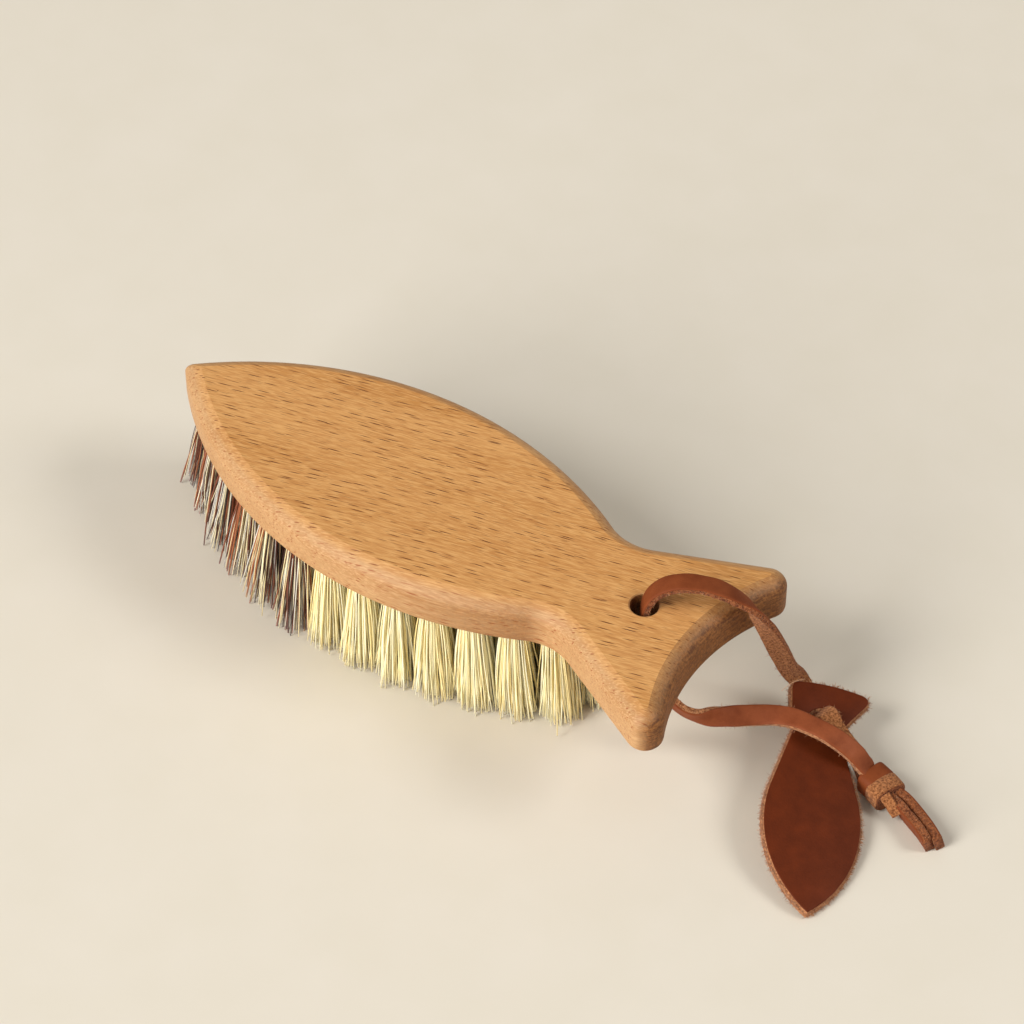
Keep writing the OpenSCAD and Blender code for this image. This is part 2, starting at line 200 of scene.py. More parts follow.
def tubes(name, paths, radii, sides, material, tint):
    """Many thin tubes in one mesh: paths is (count, rings, 3), radii is (count, rings), tint is (count)."""
    steep = 0.8
    count, rings, _ = paths.shape
    along = unit(paths[:, -1] - paths[:, 0])
    helper = np.where(np.abs(along[:, 2:3]) > steep, [[1.0, 0, 0]], [[0, 0, 1.0]])
    across = unit(np.cross(along, helper))
    up = np.cross(along, across)
    turn = np.arange(sides) * 2 * math.pi / sides
    spokes = across[:, None] * np.cos(turn)[None, :, None] + up[:, None] * np.sin(turn)[None, :, None]
    points = paths[:, :, None] + radii[:, :, None, None] * spokes[:, None]
    one = np.array(loft_faces(rings, sides, closed_ends=False))
    base = (np.arange(count) * rings * sides)[:, None, None]
    quads = (one[None] + base).reshape(-1, 4)
    low = (np.arange(sides)[::-1][None] + base[:, 0]).tolist()
    high = ((rings - 1) * sides + np.arange(sides)[None] + base[:, 0]).tolist()
    made = new_piece(name, points.reshape(-1, 3), quads.tolist() + low + high, [material])
    values = np.repeat(tint, rings * sides).astype(np.float32)
    made.data.attributes.new("tint", "FLOAT", "POINT").data.foreach_set("value", values)
    return made


# Sizes in millimetres and angles in degrees. Most are those of the CAD source.
BLOCK_L, BLOCK_T, BELLY_W, SIDE_R, NOSE_R = 133.5, 9.6, 48.8, 83.4, 1
TAIL_W, FLARE, TIP_R, HOLLOW, NECK_R = 49, 24.6, 3.7, 5, 11.5
TOP_EDGE_R, LOW_EDGE_R = 3.2, 1.4
CREASE_END, NOSE_SHORT = 62, 0.8
HANG_D, HANG_INSET, HANG_BEVEL = 5.6, 13.5, 0.4
BRISTLE_L = 24.4
TUFT_HOLE_D, TUFT_HOLE_BEVEL, TUFT_DEPTH = 5, 0.12, 3.5
HANG_X = BLOCK_L / 2 - HOLLOW - HANG_INSET
HANG_AT = np.array([HANG_X, 0, 0])
TOP_Z = BRISTLE_L + BLOCK_T
LACE_W, LACE_T, END_T = 4, 1.5, 1.9

# Lace. The routes are points from the hanging hole's axis at the table, each with the way that the smooth side
# faces there. They are those of the CAD source, moved in places by up to 1 mm to follow the photograph.
OVER_ROUTE = [
    [[0, 0, 29.22], [-8, -6, 0]],
    [[0, 0, 31.5], [-8, -6, 0]],
    [[0.3, 0.3, 34.5], [-8, -6, 2]],
    [[1.3, 1.2, 37.2], [-8, -6, 6]],
    [[3.2, 2.6, 39.2], [-5, -4, 9]],
    [[6, 4.4, 40.2], [-1, -1, 10]],
    [[9.3, 6.4, 40], [1, 0, 10]],
    [[12.4, 8.2, 38.8], [3, 2, 9]],
    [[15.3, 9.8, 36.8], [4, 5, 8]],
    [[17.6, 11.2, 34.4], [3, 8, 6]],
    [[18.6, 12.2, 31.4], [0, 10, 4]],
    [[19.6, 13.6, 27.6], [-3, 10, 2]],
    [[20.3, 15.3, 23], [-5, 9, 1]],
    [[21, 17.2, 17.8], [-5, 8, 0]],
    [[21.8, 19.2, 12.4], [-5, 8, -2]],
    [[23, 21.1, 8.6], [-4, 6, -5]],
    [[24.8, 21.4, 5.6], [-2, 3, -8]],
    [[27.1, 20, 3.9], [-1, 1, -10]],
    [[29, 17.5, 3.5], [0, 0, -10]],
    [[30.6, 15.7, 4.7], [5, -3, -8]],
    [[31.5, 14.8, 6.6], [9, -3, -3]],
    [[32, 14.5, 8.6], [9, -2, -2]],
    [[32.7, 14.6, 10.2], [7, -1, -7]],
    [[34.1, 14.8, 10.9], [2, 0, -10]],
    [[36, 13.7, 10.1], [-2, 0, -10]],
    [[38.2, 13.2, 8.9], [-4, 0, -9]],
    [[40.2, 13, 7.6], [-4, 0, -9]],
    [[41.8, 13.1, 6.1], [-5, 0, -8]],
    [[43.4, 13.2, 4.2], [-4, 0, -9]],
    [[45.5, 12.3, 2], [0, 0, -10]],
]
UNDER_ROUTE = [
    [[0, 0, 29.18], [-8, -6, 0]],
    [[0, 0, 25.4], [-8, -6, 0]],
    [[0.3, -0.1, 22.4], [-8, -6, -1]],
    [[1.4, -0.5, 19.7], [-7, -6, -4]],
    [[3.4, -1.1, 17.3], [-4, -6, -7]],
    [[5.8, -1.6, 15.2], [-1, -7, -8]],
    [[8.3, -1.8, 13.3], [1, -9, -5]],
    [[10.8, -1.4, 11.7], [1, -9, -4]],
    [[13.3, -0.2, 10.7], [2, -9, -2]],
    [[16, 1.9, 10.2], [4, -8, 4]],
    [[19, 4.4, 10.1], [3, -5, 9]],
    [[22.3, 6.9, 10.3], [3, -4, 9]],
    [[25.7, 8.7, 10.9], [2, -3, 9]],
    [[29.3, 9.6, 11.6], [1, -2, 10]],
    [[33.1, 9.8, 12], [0, -1, 10]],
    [[36.9, 10.3, 11.6], [2, -1, 10]],
    [[40.1, 10.9, 10.3], [4, -2, 9]],
    [[42.5, 11.5, 8.5], [5, -2, 8]],
    [[44.1, 11.9, 6.5], [4, -1, 8]],
    [[45.5, 12.3, 4.6], [0, 0, 10]],
]
NEAR_END_ROUTE = [
    [[51.9, 10.5, 2.3], [-4, -9, -2.8]],
    [[54.3, 10, 2.2], [-4, -9, -2.8]],
    [[56.9, 8.9, 2.1], [-5, -9, -2.8]],
    [[60.1, 7.5, 2.2], [-5, -9, -2.8]],
    [[62.4, 6.25, 2.2], [-5, -9, -2.8]],
    [[63.8, 5.4, 2.2], [-5, -9, -2.8]],
]
FAR_END_ROUTE = [
    [[52.4, 12.4, 2.3], [3, 9, 2.8]],
    [[54.6, 12.1, 2.3], [4, 9, 2.8]],
    [[57.4, 11.1, 2.2], [4, 9, 2.8]],
    [[60.1, 9.85, 2.1], [5, 9, 2.8]],
    [[62.8, 8.4, 2.2], [5, 9, 2.8]],
    [[65.2, 6.9, 2.2], [6, 8, 2.8]],
]
ROUTE_STEPS = 6
STRIP_CORNER, STRIP_CORNER_STEPS = 0.3, 3
STRIP_WIDTH_DRIFT, STRIP_DRIFT_STEP = 0.03, 4
GRAIN_FROM, SUEDE_TO = 0.62, -0.9
Strip = namedtuple("Strip", "piece path along face")


def smooth_route(route):
    """One smooth curve through a route: its points in metres, its ways along and its smooth-side ways."""
    points = np.array([r[0] for r in route], float) + HANG_AT
    ways = unit([r[1] for r in route])
    both = np.hstack([points, ways])
    ends = np.vstack([2 * both[0] - both[1], both, 2 * both[-1] - both[-2]])
    out = []
    for i in range(len(both) - 1):
        a, b, c, d = ends[i : i + 4]
        for t in np.arange(ROUTE_STEPS) / ROUTE_STEPS:
            square, cube = 2 * a - 5 * b + 4 * c - d, 3 * b - a - 3 * c + d
            out.append(0.5 * (2 * b + (c - a) * t + square * t**2 + cube * t**3))
    out = np.array(out + [both[-1]])
    path = out[:, :3] * MM
    along = unit(np.gradient(path, axis=0))
    face = unit(out[:, 3:] - (out[:, 3:] * along).sum(1, keepdims=True) * along)
    return path, along, face


def path_length(path):
    return float(np.linalg.norm(np.diff(path, axis=0), axis=1).sum())


def strip_section(width, thick):
    """Outline of a flat strip with round corners, in millimetres."""
    flat_x, flat_y = width / 2 - STRIP_CORNER, thick / 2 - STRIP_CORNER
    out = []
    for cx, cy, start in ((1, 1, 0), (-1, 1, 90), (-1, -1, 180), (1, -1, 270)):
        for k in range(STRIP_CORNER_STEPS + 1):
            a = math.radians(start + 90 * k / STRIP_CORNER_STEPS)
            out.append((cx * flat_x + STRIP_CORNER * math.cos(a), cy * flat_y + STRIP_CORNER * math.sin(a)))
        if start in (0, 180):
            out += [(cy * flat_x * place, cy * thick / 2) for place in (0.5, 0.0, -0.5)]
    return np.array(out)


def strip(name, route, materials, seed, width=LACE_W, thick=LACE_T):
    """A flat leather strip along a route. Its materials are its smooth side, its cut edges and its suede side."""
    path, along, face = smooth_route(route)
    section = strip_section(width, thick) * MM
    rng = np.random.default_rng(seed)
    drawn_at = np.arange(0, len(path) + 2 * STRIP_DRIFT_STEP, STRIP_DRIFT_STEP)
    drift = np.interp(np.arange(len(path)), drawn_at, rng.normal(0, STRIP_WIDTH_DRIFT, len(drawn_at)))
    across = np.cross(along, face)
    points = (
        path[:, None]
        + section[None, :, 0:1] * (1 + drift)[:, None, None] * across[:, None]
        + section[None, :, 1:2] * face[:, None]
    )
    sides = len(section)
    level = (section[:, 1] + np.roll(section[:, 1], -1)) / thick / MM
    kinds = [0 if v > GRAIN_FROM else 2 if v < SUEDE_TO else 1 for v in level]
    indices = kinds * (len(path) - 1) + [1, 1]
    piece = new_piece(name, points.reshape(-1, 3), loft_faces(len(path), sides), materials, indices)
    return Strip(piece, path, along, face)


# Loose fibres of leather: how far they scatter and droop, as shares of their length, and how they thin out
HAIR_SCATTER, HAIR_DROOP = 0.45, 0.4
HAIR_TAPER = np.array([[1, 0.9, 0.7, 0.3]])
HAIR_SIDES, HAIR_TINT = 3, 0.8
LACE_HAIR_L, LACE_HAIR_R = 0.75, 0.045
TAG_HAIR_L, TAG_HAIR_R, TAG_HAIRS = 0.85, 0.05, 2600
TABLE_GAP = 0.05


def fuzz(name, roots, outs, length, radius, seed):
    """Short loose fibres that stand off a suede edge and stay above the table."""
    rng = np.random.default_rng(seed)
    count = len(roots)
    way = unit(outs + rng.normal(0, HAIR_SCATTER, (count, 3)))
    bend = unit(rng.normal(0, 1, (count, 3)))
    size = (length * MM * rng.uniform(0.35, 1.0, count) ** 1.5)[:, None, None]
    t = np.linspace(0, 1, HAIR_TAPER.shape[1])[None, :, None]
    paths = roots[:, None] + way[:, None] * size * t + bend[:, None] * size * HAIR_DROOP * t**2
    paths[:, :, 2] = np.maximum(paths[:, :, 2], TABLE_GAP * MM)
    radii = np.repeat(radius * MM * HAIR_TAPER, count, 0)
    return tubes(name, paths, radii, HAIR_SIDES, HAIR, rng.random(count) * HAIR_TINT)


def strip_fuzz(name, lace, seed, per_mm):
    """Loose fibres along both cut edges of a strip, most of them towards its suede side."""
    rng = np.random.default_rng(seed)
    path, along, face = lace.path, lace.along, lace.face
    count = int(path_length(path) / MM * per_mm)
    pick = rng.uniform(0, len(path) - 1.001, count)
    low = pick.astype(int)
    share = (pick - low)[:, None]
    at = path[low] * (1 - share) + path[low + 1] * share
    across = np.cross(along, face)[low]
    side = rng.choice((-1, 1), count)[:, None]
    height = rng.uniform(-0.85, 0.2, count)[:, None] * LACE_T / 2 * MM
    roots = at + across * side * (LACE_W / 2 - 0.1) * MM + face[low] * height
    outs = across * side - face[low] * 0.3
    return fuzz(name, roots, outs, LACE_HAIR_L, LACE_HAIR_R, seed + 1)


# Materials. Beech has its grain at an angle to the board's length, and two of each colour: on the top face, and on
# the rounded sides, whose paler colours are partly their sanded side grain and partly painted light from the front
# left. Its rings spread from a place inside the block, near the neck.
GRAIN_TURN = math.radians(16)
RINGS_AT = Vector((33, -12, 20)) * MM
BAND_STOPS = (0.3, 0.5, 0.72)
# Each set has a colour for the top and one for the sides. The sides' paler colours are partly grain and partly
# painted light from the front left.
BANDS_TOP = (srgb(190, 131, 68), srgb(203, 146, 84), srgb(212, 156, 94))
BANDS_SIDE_GRAIN_AND_PAINTED_LIGHT = (srgb(176, 129, 81), srgb(185, 141, 93), srgb(195, 152, 106))
STREAKS = (srgb(166, 104, 50), srgb(174, 119, 71))
FIBRES = (srgb(224, 172, 108), srgb(212, 168, 120))
FLECKS = (srgb(98, 50, 16), srgb(156, 92, 50))
END_GRAIN = (srgb(84, 42, 14), srgb(148, 92, 42))
RING_COLOUR = srgb(186, 122, 76)
# Two layers of flecks, one fleck to a cell: the cell's size in millimetres, and two stops, of the cell's random
# number and its fleck's depth. A fleck reaches 1 / FLECK_FORM of its cell's size each way.
FLECK_LAYERS = (
    ((4.8, 1.45, 0.34), (0.0, 0.15), (0.5, 1.0)),
    ((2.4, 0.8, 0.25), (0.35, 0.15), (0.9, 0.55)),
)
FLECK_FORM = (2.6, 11, 1.5)


def beech():
    """Oiled beech: a darker top face, rounded sides made paler partly by their grain and partly by painted light,
    darker end grain and short dark flecks.
    """
    m = Material("beech_wood", 0.52, Specular_IOR_Level=0.3)
    where = m.coords()
    facing = m.add("ShaderNodeSeparateXYZ", {0: m.add("ShaderNodeTexCoord").outputs["Normal"]})
    # The share of the rounded sides, picked by the normal. It makes their colours paler: partly their own grain,
    # partly painted light.
    side = m.ramp(m.math("ABSOLUTE", facing.outputs["Z"]), (0.8, 1.0), (0.985, 0.0))
    end = m.ramp(facing.outputs["X"], (0.1, 0.0), (0.75, 1.0))

    # The grain's own coordinates, which wander sideways
    straight = m.coords(turn=-GRAIN_TURN)
    wander = m.noise(straight, (14, 40, 40))
    sideways = m.add("ShaderNodeCombineXYZ", {1: wander}).outputs[0]
    grain = m.vector("ADD", straight, m.vector("MULTIPLY", sideways, (0, 4 * MM, 0)))

    # Bands, streaks and fibres
    bands = m.noise(grain, (9, 95, 120), 3.0)
    fibres = m.noise(grain, (360, 3800, 3800))
    streaks = m.noise(grain, (90, 1500, 1500), 3.0, 0.6)
    top = m.ramp(bands, *zip(BAND_STOPS, BANDS_TOP))
    # Paler colours on the sides: partly grain, partly painted light
    colour = m.mix(side, top, m.ramp(bands, *zip(BAND_STOPS, BANDS_SIDE_GRAIN_AND_PAINTED_LIGHT)))
    colour = m.mix(m.ramp(streaks, (0.4, 0.0), (0.62, 0.45)), colour, m.mix(side, *STREAKS))
    colour = m.mix(m.ramp(fibres, (0.45, 0.0), (0.66, 0.6)), colour, m.mix(side, *FIBRES))

    # Arched rings on the near side by the neck
    flattened = m.vector("MULTIPLY", m.vector("SUBTRACT", where, RINGS_AT), (1, 1, 2.1))
    wavy = m.blend(m.vector("LENGTH", flattened), 1.0, m.noise(where, 130), 6 * MM)
    arches = m.ramp(m.math("SINE", m.math("MULTIPLY", wavy, 2100.0)), (0.35, 0.0), (0.95, 0.42))
    near = m.ramp(m.math("MULTIPLY", m.vector("DISTANCE", where, RINGS_AT), 50.0), (0.35, 1.0), (0.85, 0.0))
    colour = m.mix(m.math("MULTIPLY", arches, m.math("MULTIPLY", near, side)), colour, RING_COLOUR)

    # Flecks
    layers = []
    for cell, *depth in FLECK_LAYERS:
        grid = m.vector("MULTIPLY", grain, tuple(1 / MM / size for size in cell))
        cells = m.add("ShaderNodeTexVoronoi", {"Vector": grid, "Scale": 1.0}, feature="F1")
        away = m.vector("SUBTRACT", grid, cells.outputs["Position"])
        spindle = m.ramp(m.vector("LENGTH", m.vector("MULTIPLY", away, FLECK_FORM)), (0.5, 1.0), (1.0, 0.0))
        pick = m.add("ShaderNodeSeparateColor", {0: cells.outputs["Color"]}).outputs[0]
        layers.append(m.math("MULTIPLY", spindle, m.ramp(pick, *depth)))
    flecks = m.math("MAXIMUM", *layers)
    colour = m.mix(flecks, colour, m.mix(side, *FLECKS))

    # End grain: pores and rays
    pores = m.noise(where, 1900, 3.0, 0.7)
    rays = m.noise(where, (500, 350, 2600))
    stipple = m.ramp(m.blend(pores, 0.6, rays, 0.4), (0.4, 0.0), (0.62, 1.0))
    colour = m.mix(m.math("MULTIPLY", end, 0.92), colour, m.mix(stipple, *END_GRAIN))

    rough = m.ramp(fibres, (0.3, 0.48), (0.7, 0.62))
    return m.finish(colour, m.bump(m.blend(fibres, 0.4, flecks, -0.6), 0.12 * MM, 0.5), rough)


def leather(name, dark, light, roughness, pebble=2600):
    """The smooth side of leather: pores, a fine pebble and faint darker patches."""
    m = Material(name, roughness, Specular_IOR_Level=0.13)
    where = m.coords()
    patches = m.noise(where, 260, 4.0, 0.55)
    fine = m.noise(where, pebble, 3.0, 0.6)
    pores = m.add("ShaderNodeTexVoronoi", {"Vector": where, "Scale": pebble}, feature="F1").outputs["Distance"]
    colour = m.mix(m.ramp(fine, (0.5, 0.0), (0.8, 0.3)), m.ramp(patches, (0.25, dark), (0.8, light)), light)
    rough = m.ramp(patches, (0.3, roughness + 0.06), (0.7, roughness - 0.04))
    return m.finish(colour, m.bump(m.blend(pores, 0.6, fine, 0.6), 0.08 * MM, 0.5), rough)


def suede(name, dark, light):
    """The rough side and the cut edges of leather: short tangled fibres."""
    m = Material(name, 0.95, Specular_IOR_Level=0.08, Sheen_Weight=0.08, Sheen_Roughness=0.5)
    where = m.coords()
    both = m.blend(m.noise(where, 2300, 3.0, 0.7), 0.6, m.noise(where, 8200, 2.0, 0.7), 0.4)
    return m.finish(m.ramp(both, (0.41, dark), (0.58, light)), m.bump(both, 0.5 * MM, 0.9))


def fibre(name, *stops):
    """Loose fibre. Each one has its own tint, which picks its colour from the stops."""
    m = Material(name, 0.55, Specular_IOR_Level=0.4, Sheen_Weight=0.2, Sheen_Roughness=0.4)
    tint = m.add("ShaderNodeAttribute", attribute_name="tint").outputs["Fac"]
    along = m.noise(m.coords(), (900, 900, 160))
    shift = m.math("MULTIPLY", m.math("SUBTRACT", along, 0.5), 0.14)
    return m.finish(m.ramp(m.math("ADD", tint, shift, clamp=True), *stops))


BEECH = beech()
LACE_GRAIN = leather("lace_smooth_side", srgb(108, 50, 22), srgb(134, 68, 34), 0.58)
# Paler copies for the under stretch: partly the leather's own uneven tone, partly painted light, since the over arch
# faces away from the light
LACE_GRAIN_TONE_AND_PAINTED_LIGHT = leather("lace_smooth_side_tone_and_painted_light", srgb(116, 56, 29), srgb(148, 79, 46), 0.58)
LACE_SUEDE = suede("lace_suede_side", srgb(100, 52, 26), srgb(196, 130, 80))
LACE_EDGE = suede("lace_cut_edge", srgb(82, 38, 20), srgb(170, 102, 60))
# Paler copy of the cut edge for the under stretch: partly its tone, partly painted light
LACE_EDGE_TONE_AND_PAINTED_LIGHT = suede("lace_cut_edge_tone_and_painted_light", srgb(122, 66, 38), srgb(216, 154, 106))
TAG_GRAIN = leather("tag_smooth_side", srgb(82, 31, 7), srgb(102, 41, 13), 0.55, pebble=2200)
TAG_SUEDE = suede("tag_cut_edge", srgb(118, 64, 36), srgb(206, 144, 98))
HAIR = fibre(
    "loose_leather_fibre",
    (0.0, srgb(130, 76, 44)),
    (0.6, srgb(186, 128, 84)),
    (1.0, srgb(226, 180, 136)),
)
DARK_MIX = fibre(
    "dark_fibre_mix",
    (0.0, srgb(40, 22, 16)),
    (0.24, srgb(66, 32, 20)),
    (0.3, srgb(132, 66, 34)),
    (0.5, srgb(168, 96, 54)),
    (0.55, srgb(240, 218, 160)),
    (0.86, srgb(255, 246, 212)),
    (0.94, srgb(226, 222, 212)),
    (1.0, srgb(170, 164, 158)),
)
CREAM = fibre(
    "cream_fibre",
    (0.0, srgb(252, 228, 158)),
    (0.4, srgb(255, 241, 184)),
    (1.0, srgb(255, 251, 222)),
)

# The lace's two free stretches and its two loose ends
LACE = [LACE_GRAIN, LACE_EDGE, LACE_SUEDE]
over = strip("lace_over", OVER_ROUTE, LACE, 11)
# The under stretch takes the paler copies, which are partly its own tone and partly painted light
under = strip("lace_under", UNDER_ROUTE, [LACE_GRAIN_TONE_AND_PAINTED_LIGHT, LACE_EDGE_TONE_AND_PAINTED_LIGHT, LACE_SUEDE], 12)
near_end = strip("lace_end_near", NEAR_END_ROUTE, LACE, 13, thick=END_T)
far_end = strip("lace_end_far", FAR_END_ROUTE, LACE, 14, thick=END_T)

# Knot: two wound turns, the first with its smooth side out and the second with its suede side out, and a tongue
KNOT_AT = np.array([49, 11.6, 0]) + HANG_AT
KNOT_TURN = math.radians(-15)
KNOT_W, KNOT_H, KNOT_TURN_L, KNOT_LIFT = 6.8, 5.7, 3.5, 0.1
KNOT_BITE, KNOT_SKEW = 0.4, math.radians(6)
KNOT_SIDES, KNOT_POWER = 48, 3.3
KNOT_DRIFT, KNOT_DRIFT_STEP = 0.012, 6
# A turn's rings: the share of its length, and of its full size
KNOT_RINGS = ((0, 0.84), (0.01, 0.97), (0.08, 0.995), (0.3, 1), (0.6, 1), (0.92, 0.995), (0.985, 0.97), (1, 0.84))
TONGUE_ROUTE = [
    [[51.2, 9, 4.6], [-1, -6, 7]],
    [[53.2, 8.5, 3.4], [-1, -6, 7]],
    [[55, 8.2, 1.9], [-1, -7, 6]],
]
TONGUE_W, TONGUE_T = 2.4, 0.9


def oval(width, height):
    """A rounded rectangle as a superellipse."""
    a = np.arange(KNOT_SIDES) * 2 * math.pi / KNOT_SIDES
    c, s = np.cos(a), np.sin(a)
    x = np.sign(c) * np.abs(c) ** (2 / KNOT_POWER) * width / 2
    return np.stack([x, np.sign(s) * np.abs(s) ** (2 / KNOT_POWER) * height / 2], 1)


def knot_turn(name, start, turn, width, materials, seed):
    """One turn of the knot: a band with a crowned outside and drawn-in edges."""
    rng = np.random.default_rng(seed)
    drift = rng.normal(0, KNOT_DRIFT, KNOT_SIDES // KNOT_DRIFT_STEP)
    drawn_at = np.arange(0, KNOT_SIDES + 1, KNOT_DRIFT_STEP)
    wobble = 1 + np.interp(np.arange(KNOT_SIDES), drawn_at, np.append(drift, drift[0]))
    points = []
    for share, size in KNOT_RINGS:
        for y, z in oval(width * size, KNOT_H * size) * wobble[:, None]:
            x, y = turned(share * KNOT_TURN_L, y, turn)
            x, y = turned(x + start, y, KNOT_TURN)
            points.append((KNOT_AT[0] + x, KNOT_AT[1] + y, KNOT_LIFT + KNOT_H / 2 + z))
    points = np.array(points) * MM
    points[:, 2] = np.maximum(points[:, 2], TABLE_GAP * MM)
    bands = len(KNOT_RINGS) - 1
    indices = [1 if k in (0, bands - 1) else 0 for k in range(bands) for _ in range(KNOT_SIDES)] + [1, 1]
    return new_piece(name, points, loft_faces(len(KNOT_RINGS), KNOT_SIDES), materials, indices)


KNOT_SUEDE = [LACE_SUEDE, LACE_EDGE]
knot_first = knot_turn("knot_first_turn", -KNOT_TURN_L, 0.0, KNOT_W, LACE, 21)
knot_second = knot_turn("knot_second_turn", -KNOT_BITE, -KNOT_SKEW, KNOT_W + KNOT_BITE, KNOT_SUEDE, 22)
tongue = strip("knot_tongue", TONGUE_ROUTE, [*KNOT_SUEDE, LACE_SUEDE], 15, TONGUE_W, TONGUE_T).piece

# Tag: a small fish cut from flat leather, with a crowned smooth face and rough cut edges. Its hollow is negative
# because the tail's end is slightly full.
TAG_NOSE = np.array([53.5, -22, 0.3]) + HANG_AT
TAG_TURN, TAG_RISE, TAG_ROLL = (math.radians(a) for a in (121, 9, 13))
TAG_L, TAG_BELLY_W, TAG_BELLY_AT, TAG_FLANK = 50, 19.5, 20, math.radians(16.5)
TAG_NECK_W, TAG_TAIL_W, TAG_HOLLOW, TAG_T = 9.4, 17, -1.0, 1.8
TAG_HOLE_D, TAG_HOLE_INSET = 5, 7
TAG_FIN_AT, TAG_FIN_SKEW, TAG_FIN_SLANT = 41, 2.8, 0.5
TAG_CORNERS, TAG_CORNER_REACH = (0.7, 1.6), 1.6
# The tag's rings, as the inset from its outline and the height, and the first that belongs to the smooth face
TAG_RINGS = [(-0.1, 0.0), (-0.3, 0.3), (-0.15, 1.0), (0.15, 1.6), (0.25, 1.74), (0.5, TAG_T)]
TAG_FACE_FROM = 3


def arc(centre, radius, start, end, steps):
    a = np.radians(np.linspace(start, end, steps + 1))
    return np.stack([centre[0] + radius * np.cos(a), centre[1] + radius * np.sin(a)], 1)


def circle(centre, radius, sides):
    return arc(centre, radius, 0, 360, sides)[:-1]


def mirrored(half):
    """A closed outline from its half above the X axis, whose two ends lie on that axis."""
    return np.vstack([half, (half * [1, -1])[-2:0:-1]])


def tag_outline():
    """The tag's outline: a round nose and belly, straight flanks to the neck, a flared tail and cut corners."""
    radius = (TAG_BELLY_AT**2 + (TAG_BELLY_W / 2) ** 2) / TAG_BELLY_W
    centre = (TAG_BELLY_AT, TAG_BELLY_W / 2 - radius)
    flank = np.array((centre[0] + radius * math.sin(TAG_FLANK), centre[1] + radius * math.cos(TAG_FLANK)))
    neck = np.array((flank[0] + (flank[1] - TAG_NECK_W / 2) / math.tan(TAG_FLANK), TAG_NECK_W / 2))
    corner = np.array([TAG_L, TAG_TAIL_W / 2])
    tail_r = ((TAG_TAIL_W / 2) ** 2 + TAG_HOLLOW**2) / (2 * TAG_HOLLOW)
    tail_a = math.degrees(math.asin(TAG_TAIL_W / 2 / tail_r))
    nose_a = 180 - math.degrees(math.asin(-centre[1] / radius))
    half = [
        arc(centre, radius, nose_a, 90 - math.degrees(TAG_FLANK), 60),
        [flank * (1 - t) + neck * t for t in np.arange(1, 20) / 20],
        [neck],
        [neck * (1 - t) + corner * t for t in np.arange(1, 14) / 14],
        arc((TAG_L - TAG_HOLLOW + tail_r, 0), tail_r, 180 - tail_a, 180, 12),
    ]
    loop = mirrored(np.vstack(half))
    for sign, cut in zip((1, -1), TAG_CORNERS):
        tip = corner * [1, sign]
        at = np.flatnonzero(np.linalg.norm(loop - tip, axis=1) < cut * TAG_CORNER_REACH)
        a, b = loop[at[0] - 1], loop[(at[-1] + 1) % len(loop)]
        t = np.linspace(0.08, 0.92, len(at))[:, None]
        loop[at] = (1 - t) ** 2 * a + 2 * t * (1 - t) * tip + t**2 * b
    return loop


def tag_place(local):
    """From the tag's own frame, in millimetres, to the shared frame, in metres. The tail's fins are askew: they
    move sideways towards their ends, and one reaches further than the other."""
    x, y, z = np.array(local, float).T
    fin = np.clip((x - TAG_FIN_AT) / (TAG_L - TAG_FIN_AT), 0, 1)
    x = x + TAG_FIN_SLANT * fin * (0.8 + y / TAG_TAIL_W * 2)
    y = y - TAG_FIN_SKEW * fin**1.3
    y, z = turned(y, z, TAG_ROLL)
    x, z = turned(x, z, TAG_RISE)
    x, y = turned(x, y, TAG_TURN)
    return (np.stack([x, y, z], 1) + TAG_NOSE) * MM


def clockwise(loop):
    return (loop[:, 0] * np.roll(loop[:, 1], -1) - loop[:, 1] * np.roll(loop[:, 0], -1)).sum() < 0


def inward(loop):
    """The way into a closed outline at each of its points."""
    tangent = unit(np.roll(loop, -1, 0) - np.roll(loop, 1, 0))
    normal = np.stack([tangent[:, 1], -tangent[:, 0]], 1)
    return normal if clockwise(loop) else -normal


def filled(rings, down=False):
    """Triangles between the first ring and the holes in it. Each ring is its point numbers and their places."""
    bm = bmesh.new()
    number = {}
    for numbers, places in rings:
        verts = [bm.verts.new((x, y, 0)) for x, y in places]
        number.update(zip(verts, numbers))
        for a, b in zip(verts, verts[1:] + verts[:1]):
            bm.edges.new((a, b))
    bmesh.ops.triangle_fill(bm, edges=bm.edges[:], use_beauty=True)
    out = []
    for f in bm.faces:
        a, b, c = (v.co for v in f.verts)
        is_up = (b - a).cross(c - a).z > 0
        out.append(tuple(number[v] for v in f.verts)[:: 1 if is_up != down else -1])
    bm.free()
    return out


def plate(loops, rings, face_from):
    """A plate from its outline and its holes. rings are (inset, height) from the lower to the upper face, in
    millimetres. Returns points, faces and a kind for each face: 0 from the ring face_from upwards, and 1 below."""
    points, stacks = [], [[] for _ in loops]
    for inset, height in rings:
        for k, loop in enumerate(loops):
            moved = loop + inward(loop) * (inset if k == 0 else -inset)
            stacks[k].append((range(len(points), len(points) + len(loop)), moved))
            points += [(x, y, height) for x, y in moved]
    faces, kinds = [], []
    for r in range(len(rings) - 1):
        for k, (loop, stack) in enumerate(zip(loops, stacks)):
            low, high = stack[r][0][0], stack[r + 1][0][0]
            faces += wall(low, high, len(loop), flip=clockwise(loop) != (k > 0))
            kinds += [0 if r >= face_from else 1] * len(loop)
    for r, down, kind in ((0, True, 1), (-1, False, 0)):
        made = filled([stack[r] for stack in stacks], down)
        faces += made
        kinds += [kind] * len(made)
    return np.array(points), faces, kinds


